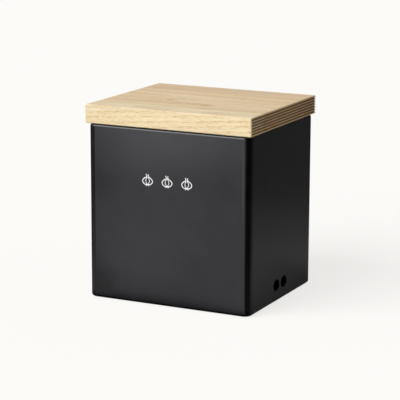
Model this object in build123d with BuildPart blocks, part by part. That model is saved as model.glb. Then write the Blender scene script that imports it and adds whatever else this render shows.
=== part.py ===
"""Onion storage canister: a slip-cast stoneware pot and a loose lid of edge-glued wood.

Millimetres, +Z up. The origin is on the surface the pot stands on, under its centre.
X runs along the pot's long sides, and the front faces -Y.
"""
import os

from build123d import *

# Pot, outside
pot_length = 182.0
pot_depth = 158.5
pot_height = 182.0
corner_radius = 8.5
base_edge_radius = 3.0
rim_outer_radius = 3.0
rim_inner_radius = 1.2

# Pot, wall and inside
wall = 6.0
floor_thickness = 7.0
inner_corner_radius = 8.0
inner_floor_radius = 5.0

# Foot: a flat standing ring round a shallow recess
foot_land = 6.0
foot_recess = 1.8
foot_corner_radius = 4.0
foot_recess_chamfer = 1.2

# Vents: a pair of oval holes low in each short side, a little nearer the front
vent_width = 14.0
vent_height = 11.5
vent_spacing = 18.5
vent_rise = 17.5
vent_set_forward = 2.5
vent_chamfer = 0.6

# Lid board: rests on the rim and overhangs it all round
lid_overhang = 1.5
lid_edge = 19.0
lid_arris = 0.7
rim_gap = 0.2

# Locating step milled under the lid, which drops inside the rim
step_drop = 6.0
step_clearance = 2.0
step_chamfer = 1.0

# Grip grooves milled along both short ends of the lid: the cutter starts just behind
# the front face, which stays whole, and runs out through the back
groove_count = 6
groove_width = 1.4
groove_depth = 1.4
groove_stop = 1.6
outer_land = 1.8

# Staves glued edge to edge, from the front to the back: the last takes what is left
front_stave_widths = [28.5, 39.5, 33.0, 30.0]

# Sizes that follow
base_radius = min(base_edge_radius, 0.8 * corner_radius)
rim_outer = min(rim_outer_radius, 0.6 * wall)
rim_inner = min(rim_inner_radius, 0.25 * wall)
inside_length = pot_length - 2 * wall
inside_depth = pot_depth - 2 * wall
inside_bottom = foot_recess + floor_thickness
floor_cove = min(inner_floor_radius, 0.8 * inner_corner_radius)
recess_length = pot_length - 2 * (base_radius + foot_land)
recess_depth = pot_depth - 2 * (base_radius + foot_land)
lid_length = pot_length + 2 * lid_overhang
lid_depth = pot_depth + 2 * lid_overhang
lid_bottom = pot_height + rim_gap
lid_middle = lid_bottom + lid_edge / 2
step_length = inside_length - 2 * step_clearance
step_depth = inside_depth - 2 * step_clearance
step_corner_radius = max(inner_corner_radius - step_clearance, 2 * step_chamfer)
groove_pitch = (lid_edge - 2 * outer_land - groove_width) / (groove_count - 1)
groove_length = lid_depth - groove_stop + groove_width

os.makedirs("parts", exist_ok=True)

# Pot: a rounded rectangular block, hollowed to an even wall
with BuildPart() as pot:
    with BuildSketch(Plane.XY):
        RectangleRounded(pot_length, pot_depth, corner_radius)
    extrude(amount=pot_height)
    fillet(pot.faces().sort_by(Axis.Z)[0].edges(), base_radius)

    # The mouth is the full inside width, with a coved inside floor
    with BuildSketch(Plane.XY.offset(inside_bottom)):
        RectangleRounded(inside_length, inside_depth, inner_corner_radius)
    extrude(amount=pot_height, mode=Mode.SUBTRACT)
    inside_floor = pot.faces(Select.LAST).sort_by(Axis.Z)[0]
    fillet(inside_floor.edges(), floor_cove)

    # The rim is rolled over more on its outer side, and keeps a narrow flat land on top
    fillet(pot.faces().sort_by(Axis.Z)[-1].outer_wire().edges(), rim_outer)
    fillet(pot.faces().sort_by(Axis.Z)[-1].inner_wires()[0].edges(), rim_inner)

    # The recess leaves the standing ring, which the glaze stops short of
    with BuildSketch(Plane.XY):
        RectangleRounded(recess_length, recess_depth, foot_corner_radius)
    extrude(amount=foot_recess, mode=Mode.SUBTRACT)
    recess_ceiling = pot.faces(Select.LAST).filter_by(Axis.Z).sort_by(Axis.Z)[-1]
    chamfer(recess_ceiling.edges(), min(foot_recess_chamfer, 0.8 * foot_recess))

    # One pass through both short sides gives vents that face each other
    with BuildSketch(Plane.YZ.offset(pot_length / 2)):
        with Locations((-vent_set_forward, vent_rise)):
            with GridLocations(vent_spacing, 0, 2, 1):
                Ellipse(vent_width / 2, vent_height / 2)
    extrude(amount=-pot_length, mode=Mode.SUBTRACT)
    oval_edges = pot.edges().filter_by(GeomType.ELLIPSE).group_by(Axis.X)
    chamfer(oval_edges[0] + oval_edges[-1], vent_chamfer)

pot.part.label = "pot"
export_step(pot.part, "parts/pot.step")

# Lid board: the whole glued-up panel, milled as one, before it is told apart into staves
with BuildPart() as lid_board:
    with BuildSketch(Plane.XY.offset(lid_bottom)):
        Rectangle(lid_length, lid_depth)
    extrude(amount=lid_edge)
    chamfer(lid_board.edges(), lid_arris)

    # The step is set in by the wall and its clearance, and chamfered to find the mouth
    with BuildSketch(Plane.XY.offset(lid_bottom)):
        RectangleRounded(step_length, step_depth, step_corner_radius)
    extrude(amount=-step_drop)
    chamfer(lid_board.faces().sort_by(Axis.Z)[0].edges(), step_chamfer)

    # Each groove has the round stop of its cutter at the front, and passes the back face
    for side in (-1, 1):
        with BuildSketch(Plane.YZ.offset(side * lid_length / 2)):
            with Locations((groove_stop + (groove_length - lid_depth) / 2, lid_middle)):
                with GridLocations(0, groove_pitch, 1, groove_count):
                    SlotOverall(groove_length, groove_width)
        extrude(amount=-side * groove_depth, mode=Mode.SUBTRACT)

stave_edges = [-lid_depth / 2]
for width in front_stave_widths:
    stave_edges.append(stave_edges[-1] + width)
stave_edges.append(lid_depth / 2)

# Staves: the grain of each runs along X, and the glue lines are plain flat faces
for number, (front, back) in enumerate(zip(stave_edges, stave_edges[1:]), start=1):
    with BuildPart() as stave:
        with BuildSketch(Plane.XY.offset(lid_bottom - step_drop)):
            with Locations((0, (front + back) / 2)):
                Rectangle(lid_length, back - front)
        extrude(amount=step_drop + lid_edge)
        add(lid_board.part, mode=Mode.INTERSECT)

    stave.part.label = f"lid_stave_{number}"
    export_step(stave.part, f"parts/lid_stave_{number}.step")
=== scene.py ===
import math

import bpy
from mathutils import Matrix, Vector


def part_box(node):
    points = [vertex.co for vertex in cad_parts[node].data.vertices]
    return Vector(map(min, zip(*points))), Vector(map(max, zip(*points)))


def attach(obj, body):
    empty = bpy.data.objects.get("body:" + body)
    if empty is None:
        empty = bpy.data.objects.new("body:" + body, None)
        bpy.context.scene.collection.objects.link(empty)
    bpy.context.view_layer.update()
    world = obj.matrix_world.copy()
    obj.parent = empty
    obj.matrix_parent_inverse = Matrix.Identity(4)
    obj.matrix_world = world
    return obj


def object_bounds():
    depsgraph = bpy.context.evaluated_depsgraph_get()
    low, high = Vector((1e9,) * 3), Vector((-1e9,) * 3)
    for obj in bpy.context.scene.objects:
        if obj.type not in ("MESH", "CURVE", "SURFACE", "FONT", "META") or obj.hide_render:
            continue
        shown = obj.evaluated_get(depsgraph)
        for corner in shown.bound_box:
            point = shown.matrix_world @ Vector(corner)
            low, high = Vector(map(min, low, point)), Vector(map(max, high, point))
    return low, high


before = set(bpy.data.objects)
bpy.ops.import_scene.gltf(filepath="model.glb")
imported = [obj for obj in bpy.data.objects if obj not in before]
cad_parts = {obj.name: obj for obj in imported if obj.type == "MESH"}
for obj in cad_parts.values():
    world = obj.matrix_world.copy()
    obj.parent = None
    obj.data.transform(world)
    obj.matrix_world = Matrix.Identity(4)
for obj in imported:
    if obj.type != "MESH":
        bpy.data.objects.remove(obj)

cad_low, cad_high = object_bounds()

# The camera stands a little above the lid, in front and to the right, with a long lens
# that keeps the pot's upright edges nearly parallel.
camera_azimuth = math.radians(26.216)
camera_elevation = math.radians(12.431)
camera_roll = math.radians(0.201)
camera_place = Vector((0.784207, -1.597314, 0.487665))
sensor_width = 36.0
lens_length = 157.4
bpy.ops.object.select_all(action="DESELECT")
bpy.ops.object.camera_add()
camera = bpy.context.object
camera.matrix_world = (
    Matrix.Translation(camera_place)
    @ Matrix.Rotation(camera_azimuth, 4, "Z")
    @ Matrix.Rotation(math.pi / 2 - camera_elevation, 4, "X")
    @ Matrix.Rotation(camera_roll, 4, "Z")
)
camera.data.sensor_width = sensor_width
camera.data.lens = lens_length
bpy.context.scene.camera = camera
bpy.context.scene.view_settings.view_transform = "Standard"

# The floor is a seamless pale sheet that runs out past the view. It takes the pot's soft
# shadow, and what the lens and the glaze see of it is lifted to the paper's own paleness.
floor_reach = 12.0
floor_drop = 0.0003
floor_grey = (0.46, 0.456, 0.448, 1.0)
seen_grey = (0.25, 0.248, 0.243, 1.0)
seen_lift = (0.755, 0.747, 0.730, 1.0)
mirrored_grey = (0.86, 0.86, 0.935, 1.0)
mirrored_lift = (0.16, 0.16, 0.175, 1.0)
pot_low, pot_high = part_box("pot")
pot_sides = (pot_high.x, pot_high.y, 0)

# How far the painted shadow at the pot's foot reaches out in the floor that the glaze reflects,
# at the left and at the right, and between which places in X the one turns into the other
painted_foot_shadow_left = 0.045
painted_foot_shadow_right = 0.030
painted_foot_shadow_turn = (0.010, 0.070)


def new_material(name):
    """An empty node material, its node tree, and the socket that takes its shader."""
    material = bpy.data.materials.new(name)
    material.use_nodes = True
    material.node_tree.nodes.clear()
    output = material.node_tree.nodes.new("ShaderNodeOutputMaterial")
    return material, material.node_tree, output.inputs["Surface"]


def add_node(tree, kind, sockets=(), **settings):
    """A new node; a value that is another node's socket is linked, and any other is set."""
    made = tree.nodes.new(kind)
    for name, value in settings.items():
        setattr(made, name, value)
    for socket, value in dict(sockets).items():
        if isinstance(value, bpy.types.NodeSocket):
            tree.links.new(value, made.inputs[socket])
        else:
            made.inputs[socket].default_value = value
    return made


def set_shader(tree, surface, kind, sockets):
    """The shader of that kind is made, and the surface shows it."""
    tree.links.new(add_node(tree, kind, sockets).outputs[0], surface)


def dress(piece, material):
    """The piece gets that material and no other."""
    piece.data.materials.clear()
    piece.data.materials.append(material)


def place_on(tree):
    """Where each point of the piece lies, in metres."""
    return add_node(tree, "ShaderNodeTexCoord").outputs["Object"]


def parts_of(tree, vector):
    """The X, Y and Z of a place or a direction."""
    return add_node(tree, "ShaderNodeSeparateXYZ", {"Vector": vector}).outputs


def mix_colours(tree, amount, under, over, how="MIX"):
    """The colour that over makes on under, by that amount."""
    return add_node(
        tree, "ShaderNodeMix", {0: amount, 6: under, 7: over}, data_type="RGBA", blend_type=how
    ).outputs[2]


def ramp(tree, value, low, high, at_low=0.0, at_high=1.0):
    """The value carried from low and high to what it is to be there, and held beyond them."""
    return add_node(tree, "ShaderNodeMapRange", {
        "Value": value, "From Min": low, "From Max": high, "To Min": at_low, "To Max": at_high,
    }).outputs[0]


def calculate(tree, operation, *values):
    """One sum on numbers or on other nodes' sockets."""
    return add_node(
        tree, "ShaderNodeMath", dict(enumerate(values)), operation=operation
    ).outputs[0]


def calculate_vector(tree, operation, *vectors):
    """One sum on places or directions, which gives another, or the number for a length."""
    outputs = add_node(
        tree, "ShaderNodeVectorMath", dict(enumerate(vectors)), operation=operation
    ).outputs
    return outputs["Value" if operation in ("DISTANCE", "LENGTH") else "Vector"]


def seen_ray(tree):
    """1 for what the lens, a reflection or a see-through surface shows, else 0."""
    path = add_node(tree, "ShaderNodeLightPath").outputs
    either = calculate(tree, "MAXIMUM", path["Is Camera Ray"], path["Is Glossy Ray"])
    return calculate(tree, "MAXIMUM", either, path["Is Transmission Ray"])


def off_base(tree, reach):
    """0 at the pot's foot, rising to 1 at that reach out from it; it shapes the painted shadow
    round the foot.
    """
    from_middle = calculate_vector(tree, "ABSOLUTE", place_on(tree))
    past = parts_of(tree, calculate_vector(tree, "SUBTRACT", from_middle, pot_sides))
    return ramp(tree, calculate(tree, "MAXIMUM", past["X"], past["Y"]), 0.0, reach)


bpy.ops.object.select_all(action="DESELECT")
bpy.ops.mesh.primitive_plane_add(size=2 * floor_reach, location=(0, 0, -floor_drop))
floor = bpy.context.object
floor.name = "floor"
paper, tree, surface = new_material("paper")
path = add_node(tree, "ShaderNodeLightPath").outputs
across = parts_of(tree, place_on(tree))["X"]
# What reflections see of the floor is darkened near the pot's foot: a painted shadow, reaching
# further at the left.
painted_foot_shadow = off_base(tree, ramp(tree, across, *painted_foot_shadow_turn, painted_foot_shadow_left, painted_foot_shadow_right))
near_grey = mix_colours(tree, 1.0, mirrored_grey, painted_foot_shadow, "MULTIPLY")
near_lift = mix_colours(tree, 1.0, mirrored_lift, painted_foot_shadow, "MULTIPLY")
plain_grey = mix_colours(tree, path["Is Camera Ray"], floor_grey, seen_grey)
paper_diffuse = add_node(tree, "ShaderNodeBsdfDiffuse", {
    "Color": mix_colours(tree, path["Is Glossy Ray"], plain_grey, near_grey),
})
paper_glow = add_node(tree, "ShaderNodeEmission", {
    "Color": mix_colours(tree, path["Is Glossy Ray"], seen_lift, near_lift),
    "Strength": seen_ray(tree),
})
set_shader(tree, surface, "ShaderNodeAddShader", {
    0: paper_diffuse.outputs[0], 1: paper_glow.outputs[0],
})
dress(floor, paper)

# The room is white where it is seen, and gives an even, weaker light from all round. One
# very large, distant softbox stands at the front left, above the lid.
room_white = (0.947, 0.939, 0.922, 1.0)
room_fill = 0.29
key_azimuth = math.radians(-30)
key_elevation = math.radians(34)
key_spread = math.radians(58)
key_level = 1.075
world = bpy.data.worlds.new("room")
bpy.context.scene.world = world
world.use_nodes = True
tree = world.node_tree
tree.nodes.clear()
room = add_node(tree, "ShaderNodeBackground", {
    "Color": room_white, "Strength": ramp(tree, seen_ray(tree), 0.0, 1.0, room_fill, 1.0),
})
add_node(tree, "ShaderNodeOutputWorld", {"Surface": room.outputs[0]})
bpy.ops.object.select_all(action="DESELECT")
bpy.ops.object.light_add(type="SUN")
key = bpy.context.object
key.name = "key_light"
key.rotation_euler = (math.pi / 2 - key_elevation, 0, key_azimuth)
key.data.angle = key_spread
key.data.energy = key_level * math.pi

# Cards that only reflections see fan out over the floor from under the pot: nearly black
# at the right, which draws the dark near corner in the glaze, grey behind, and two more at
# the left. All fade outward, each is darkened close to the pot as a painted shadow round its
# foot, and the first two end in an upright wall.
card_lift = 0.001
card_reach = 2.5
card_wall = 2.5
card_fade = 0.6
card_steps = 12
card_foot_shadow = 0.017
near_corner = (0.089, -0.077)
left_corner = (-0.089, -0.077)
left_foot = (-0.060, -0.077)
plain_tint = (1.0, 1.0, 1.0, 1.0)
front_tint = (0.990, 0.985, 1.055, 1.0)


def lay_sheet(name, vertices, faces):
    """A sheet for reflections alone; its node tree, and the socket that takes its shader."""
    mesh = bpy.data.meshes.new(name)
    mesh.from_pydata(vertices, [], faces)
    sheet = bpy.data.objects.new(name, mesh)
    bpy.context.scene.collection.objects.link(sheet)
    sheet.visible_camera = False
    sheet.visible_diffuse = False
    sheet.visible_shadow = False
    material, tree, surface = new_material(name)
    dress(sheet, material)
    return tree, surface


def card(
    name, corner, start, end, near, far, wall=0.0, foot_shadow_reach=card_foot_shadow, foot=0.0, tint=plain_tint,
):
    """A fan out from one corner, between two azimuths in degrees from the front.

    Its level goes from near to far on the way out, and is brought down close to the pot,
    to the share that foot gives: a painted shadow round the pot's foot, which the glaze reflects.
    """
    directions = [
        math.radians(start + (end - start) * step / card_steps) for step in range(card_steps + 1)
    ]
    arc = [(math.sin(a) * card_reach, -math.cos(a) * card_reach) for a in directions]
    vertices = [(*corner, card_lift)] + [(x, y, card_lift) for x, y in arc]
    faces = [(0, step + 1, step + 2) for step in range(card_steps)]
    if wall:
        vertices += [(x, y, wall) for x, y in arc]
        faces += [
            (step + 1, step + 2, step + card_steps + 3, step + card_steps + 2)
            for step in range(card_steps)
        ]
    tree, surface = lay_sheet(name, vertices, faces)
    distance = calculate_vector(tree, "DISTANCE", place_on(tree), (*corner, 0))
    level = ramp(tree, distance, 0.0, card_fade, near, far)
    # Painted shadow: the card is darkened close to the pot's foot.
    painted_foot_shadow = ramp(tree, off_base(tree, foot_shadow_reach), 0.0, 1.0, foot, 1.0)
    set_shader(tree, surface, "ShaderNodeEmission", {
        "Color": tint, "Strength": calculate(tree, "MULTIPLY", level, painted_foot_shadow),
    })


card("card_right", near_corner, 20, 95, near=0.05, far=0.0, wall=card_wall)
card(
    "card_back", near_corner, 95, 190, near=0.34, far=0.095, wall=card_wall,
    foot_shadow_reach=0.095, foot=0.36,
)
card("card_left", left_foot, -80, -30, near=0.50, far=0.15, tint=front_tint)
card("card_left_back", left_corner, -170, -80, near=0.10, far=0.07)

# Four more sheets lie in front, each with its own even level: a bright one far out, which
# the top of the pot's front takes up as a glow, a weaker one near the pot for the lower
# half, a dim strip for the right end, and one that draws the pale line along that end.
glow_level = 2.6
glow_corners = [
    (-0.93, -1.50), (-0.55, -1.50), (-0.30, -0.84), (-0.36, -0.77), (-0.405, -0.74),
    (-0.45, -0.745), (-0.53, -0.86),
]
dim_level = 0.50
dim_corners = [(-0.185, -0.53), (-0.325, -0.80), (-0.24, -0.80), (-0.125, -0.53)]
base_level = 1.10
base_corners = [(-0.36, -0.50), (-0.17, -0.50), (-0.035, -0.17), (-0.125, -0.17)]
edge_level = 1.9
edge_corners = [(-0.075, -0.55), (-0.269, -1.117), (0.012, -1.174), (0.054, -0.576)]
for name, corners, lift, level in (
    ("card_glow", glow_corners, 2 * card_lift, glow_level),
    ("card_dim", dim_corners, card_lift, dim_level),
    ("card_base", base_corners, 2 * card_lift, base_level),
    ("card_edge", edge_corners, card_lift, edge_level),
):
    vertices = [(x, y, lift) for x, y in corners]
    tree, surface = lay_sheet(name, vertices, [range(len(corners))])
    set_shader(tree, surface, "ShaderNodeEmission", {"Color": front_tint, "Strength": level})

# The pot is slip-cast stoneware under one coat of black satin glaze. The glaze is wiped
# off the ring that it stands on, and lies a little unevenly, as a dipped coat does.
glaze_black = (0.0022, 0.0022, 0.0026, 1.0)
glaze_thin = (0.0050, 0.0049, 0.0049, 1.0)
glaze_roughness = (0.17, 0.25)
glaze_line = 0.0007
glaze_fade = 0.0002
line_wander = 0.0004
line_cells = 120.0
clay_dark = (0.200, 0.165, 0.130, 1.0)
clay_light = (0.330, 0.280, 0.220, 1.0)
clay_roughness = 0.85
clay_cells = 900.0
mottle_cells = 55.0
mottle_turn = (0.42, 0.75)
peel_cells = 260.0
peel_depth = 0.0002
peel_strength = 0.10
swell_cells = 14.0
swell_depth = 0.002
swell_strength = 0.25


def noise(tree, place, cells, detail=2.0):
    """Uneven values from 0 to 1, with that many cells to a metre."""
    return add_node(tree, "ShaderNodeTexNoise", {
        "Vector": place, "Scale": cells, "Detail": detail,
    }).outputs["Fac"]


glaze, tree, surface = new_material("glaze")
place = place_on(tree)
wander = noise(tree, place, line_cells)
line_height = calculate(tree, "MULTIPLY_ADD", wander, line_wander, parts_of(tree, place)["Z"])
coated = add_node(tree, "ShaderNodeMapRange", {
    "Value": line_height, "From Min": glaze_line, "From Max": glaze_line + glaze_fade,
}, interpolation_type="SMOOTHSTEP").outputs[0]
mottle = noise(tree, place, mottle_cells, detail=4.0)
coat = mix_colours(tree, ramp(tree, mottle, *mottle_turn), glaze_black, glaze_thin)
clay = mix_colours(tree, noise(tree, place, clay_cells), clay_dark, clay_light)
coat_roughness = ramp(tree, mottle, 0.0, 1.0, *glaze_roughness)
peel_bump = add_node(tree, "ShaderNodeBump", {
    "Height": noise(tree, place, peel_cells), "Strength": peel_strength, "Distance": peel_depth,
})
swell_bump = add_node(tree, "ShaderNodeBump", {
    "Height": noise(tree, place, swell_cells, detail=1.0), "Strength": swell_strength,
    "Distance": swell_depth, "Normal": peel_bump.outputs[0],
})
set_shader(tree, surface, "ShaderNodeBsdfPrincipled", {
    "Base Color": mix_colours(tree, coated, clay, coat),
    "Roughness": ramp(tree, coated, 0.0, 1.0, clay_roughness, coat_roughness),
    "Normal": swell_bump.outputs[0],
})
dress(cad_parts["pot"], glaze)

# The print is a row of three small onions in white enamel, drawn in thin raised lines and
# fired onto the front, above its middle. The first is drawn from lines with their weights
# and their points in millimetres, and the other two are copies of it.
print_height = 0.129
print_pitch = 0.0220
ink_width = 0.00110
ink_flatness = 0.10
ink_rounding = 1
ink_steps = 6
enamel_white = (0.97, 0.97, 0.97, 1.0)
enamel_worn = (0.86, 0.86, 0.87, 1.0)
enamel_roughness = 0.45
wear_cells = 1500.0
onion_lines = [
    (1.0, [(0.0, -4.6), (3.8, -3.7), (5.5, -0.7), (3.5, 2.1), (1.0, 3.6), (1.0, 6.2)]),
    (1.0, [(0.0, -4.6), (-3.8, -3.7), (-5.5, -0.7), (-3.5, 2.1), (-1.0, 3.6), (-1.6, 6.4)]),
    (0.7, [(0.0, -4.6), (2.1, -0.7), (0.4, 3.2)]),
    (0.7, [(0.0, -4.6), (-2.1, -0.7), (-0.4, 3.2)]),
    (0.8, [(-1.8, -5.8), (0.0, -4.6), (1.8, -5.8)]),
]
enamel, tree, surface = new_material("enamel")
set_shader(tree, surface, "ShaderNodeBsdfPrincipled", {
    "Base Color": mix_colours(
        tree, noise(tree, place_on(tree), wear_cells), enamel_white, enamel_worn
    ),
    "Roughness": enamel_roughness,
})
drawn = []
for weight, points in onion_lines:
    bpy.ops.object.select_all(action="DESELECT")
    bpy.ops.curve.primitive_bezier_curve_add(location=(0, 0, 0))
    line = bpy.context.object
    line.data.bevel_depth = weight * ink_width / 2
    line.data.bevel_resolution = ink_rounding
    line.data.resolution_u = ink_steps
    line.data.use_fill_caps = True
    spline = line.data.splines[0]
    spline.bezier_points.add(len(points) - 2)
    for point, (x, z) in zip(spline.bezier_points, points):
        point.co = (x / 1000, 0, z / 1000)
        point.handle_left_type = "AUTO"
        point.handle_right_type = "AUTO"
    drawn.append(line)
bpy.ops.object.select_all(action="DESELECT")
for line in drawn:
    line.select_set(True)
bpy.context.view_layer.objects.active = drawn[0]
bpy.ops.object.join()
bpy.ops.object.convert(target="MESH")
first_onion = bpy.context.object
first_onion.scale = (1, ink_flatness, 1)
first_onion.location = (-print_pitch, pot_low.y, print_height)
bpy.ops.object.transform_apply(location=True, rotation=True, scale=True)
dress(first_onion, enamel)
onions = [first_onion]
for column in (1, 2):
    onion = first_onion.copy()
    onion.data = first_onion.data.copy()
    onion.data.transform(Matrix.Translation((column * print_pitch, 0, 0)))
    bpy.context.scene.collection.objects.link(onion)
    onions.append(onion)
for number, onion in enumerate(onions, start=1):
    onion.name = f"print_onion_{number}"
    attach(onion, "pot_body")

# The lid is one board, glued up edge to edge from five staves of a pale, open-pored
# hardwood and oiled. Each stave is its own piece of wood, so its rings, its colour and
# its pores differ from its neighbours', and the grooves in its ends are darkened with painted
# shade.
stave_looks = {
    # The log's heart in Y and Z, its tilt, the wood's tone, its seed, and knots in X and Y
    "lid_stave_1": ((-0.052, 0.150), 0.40, (0.925, 0.945, 0.965), 3.1, []),
    "lid_stave_2": (
        (-0.025, 0.120), -0.12, (0.870, 0.820, 0.775), 7.7, [(-0.029, -0.0160), (0.019, -0.0330)],
    ),
    "lid_stave_3": ((0.010, 0.235), 0.10, (0.890, 0.855, 0.830), 12.9, []),
    "lid_stave_4": ((0.050, 0.130), 0.06, (0.860, 0.805, 0.760), 18.3, []),
    "lid_stave_5": ((0.060, 0.240), -0.08, (0.800, 0.740, 0.705), 24.1, []),
}
wood_early = (0.90, 0.735, 0.455)
wood_late = (0.80, 0.570, 0.265)
wood_pore = (0.54, 0.300, 0.095)
wood_grey = (0.96, 0.955, 1.000, 1.0)
wood_roughness = (0.42, 0.58)
streak_dark = (0.875, 0.850, 0.790, 1.0)
streak_pale = (1.055, 1.075, 1.130, 1.0)
end_grain = (0.97, 0.83, 0.74, 1.0)
painted_groove_shade = (0.34, 0.27, 0.19, 1.0)
ring_pitch = 0.0042
ring_scale = math.tau / 20 / ring_pitch  # at scale 1, the pattern repeats every tau / 20
ring_waver = 3.0
waver_detail = 2.0
waver_scale = 0.25
log_stretch = 0.15
grain_depth = 0.0001
grain_strength = 0.25
knot_length = 0.013
knot_width = 0.007
glue_width = 0.0003
glue_share = 0.45

# Cells to a metre along and across the grain, and how fine they are broken up
fibre_cells = (80, 800, 3.0)
band_cells = (7, 100, 2.0)
grey_cells = (5, 60, 1.0)
pore_cells = (220, 2200, 0.0)

# Where each share of a colour begins and ends, and how large it is there
late_share = (0.35, 1.0, 0.0, 0.55)
band_share = (0.35, 0.65, 0.0, 0.45)
fibre_share = (0.30, 0.70, 0.0, 0.55)
grey_share = (0.45, 0.65, 0.0, 1.0)
pore_share = (0.53, 0.70, 0.0, 1.0)
late_pore_share = (0.30, 0.79, 0.22, 0.64)
knot_share = (1.2, 0.3, 0.0, 0.78)
end_share = (0.75, 0.95, 0.0, 1.0)

# Where the painted shade in the grooves goes from none to full: in from the end, back out from
# past their bottoms, towards the middle of the edge's height, and back from the front face
groove_mouth = (0.0002, 0.0010)
groove_bottom = (0.0020, 0.0016)
groove_band = (0.0086, 0.0080)
groove_start = (0.0010, 0.0018)

# The middle of the edge's height, which leaves out the step under the lid
step_drop = 0.0060
lid_low, lid_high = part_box("lid_stave_1")
edge_middle = (lid_low.z + step_drop + lid_high.z) / 2


def toned(colour, tone):
    """The colour with each of its parts brought down by the stave's tone."""
    return tuple(part * share for part, share in zip(colour, tone)) + (1.0,)


def drawn_noise(tree, place, seed, along_cells, across_cells, detail):
    """Noise drawn out along the stave, by its cells to a metre along and across."""
    drawn = add_node(tree, "ShaderNodeMapping", {
        "Vector": place, "Location": (seed, seed, 0),
        "Scale": (along_cells, across_cells, across_cells),
    })
    return noise(tree, drawn.outputs[0], 1.0, detail)


def in_groove(tree, along, across, above):
    """1 inside the grip grooves at the board's ends, else 0: where the painted groove shade lies.
    """
    out = calculate(tree, "ABSOLUTE", along)
    off_middle = calculate(tree, "ABSOLUTE", calculate(tree, "SUBTRACT", above, edge_middle))
    inside = ramp(tree, out, *(lid_high.x - inward for inward in groove_mouth))
    for limit in (
        ramp(tree, out, *(lid_high.x - inward for inward in groove_bottom)),
        ramp(tree, off_middle, *groove_band),
        ramp(tree, across, *(cad_low.y + behind for behind in groove_start)),
    ):
        inside = calculate(tree, "MULTIPLY", inside, limit)
    return inside


for name, (heart, tilt, tone, seed, knots) in stave_looks.items():
    low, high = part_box(name)
    early, late, pore = (toned(colour, tone) for colour in (wood_early, wood_late, wood_pore))
    wood, tree, surface = new_material(name + "_wood")
    place = place_on(tree)
    along, across, above = parts_of(tree, place)
    fibre, bands, greyness, pores = (
        drawn_noise(tree, place, seed, *cells)
        for cells in (fibre_cells, band_cells, grey_cells, pore_cells)
    )

    log = add_node(tree, "ShaderNodeMapping", {
        "Vector": place, "Location": (seed, -heart[0], -heart[1]), "Rotation": (0, tilt, tilt / 2),
        "Scale": (log_stretch, 1, 1),
    })
    rings = add_node(tree, "ShaderNodeTexWave", {
        "Vector": log.outputs[0], "Scale": ring_scale, "Distortion": ring_waver,
        "Detail": waver_detail, "Detail Scale": waver_scale,
    }, wave_type="RINGS", rings_direction="X", wave_profile="SAW").outputs["Fac"]
    colour = mix_colours(tree, ramp(tree, rings, *late_share), early, late)

    paleness = calculate(
        tree, "ADD", ramp(tree, bands, *band_share), ramp(tree, fibre, *fibre_share)
    )
    streaks = mix_colours(tree, paleness, streak_dark, streak_pale)
    colour = mix_colours(tree, 1.0, colour, streaks, "MULTIPLY")
    colour = mix_colours(tree, ramp(tree, greyness, *grey_share), colour, wood_grey, "MULTIPLY")

    pores = ramp(tree, pores, *pore_share)
    pore_depth = calculate(tree, "MULTIPLY", pores, ramp(tree, rings, *late_pore_share))
    colour = mix_colours(tree, pore_depth, colour, pore)
    for knot in knots:
        from_knot = calculate_vector(tree, "SUBTRACT", place, (*knot, 0))
        from_knot = calculate_vector(
            tree, "MULTIPLY", from_knot, (2 / knot_length, 2 / knot_width, 0)
        )
        knot_depth = ramp(tree, calculate_vector(tree, "LENGTH", from_knot), *knot_share)
        colour = mix_colours(tree, knot_depth, colour, pore)

    facing = parts_of(tree, add_node(tree, "ShaderNodeNewGeometry").outputs["Normal"])["X"]
    endwise = ramp(tree, calculate(tree, "ABSOLUTE", facing), *end_share)
    colour = mix_colours(tree, endwise, colour, end_grain, "MULTIPLY")
    # Painted shade darkens the grooves in the board's ends.
    groove_shade_mask = in_groove(tree, along, across, above)
    colour = mix_colours(tree, groove_shade_mask, colour, painted_groove_shade, "MULTIPLY")
    for seam, inward in ((low.y, glue_width), (high.y, -glue_width)):
        if cad_low.y + glue_width < seam < cad_high.y - glue_width:
            glue = ramp(tree, across, seam + inward, seam, 0.0, glue_share)
            colour = mix_colours(tree, glue, colour, pore)

    grain_bump = add_node(tree, "ShaderNodeBump", {
        "Height": calculate(tree, "SUBTRACT", fibre, pores), "Strength": grain_strength,
        "Distance": grain_depth,
    })
    set_shader(tree, surface, "ShaderNodeBsdfPrincipled", {
        "Base Color": colour, "Roughness": ramp(tree, fibre, 0.0, 1.0, *wood_roughness),
        "Normal": grain_bump.outputs[0],
    })
    dress(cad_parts[name], wood)
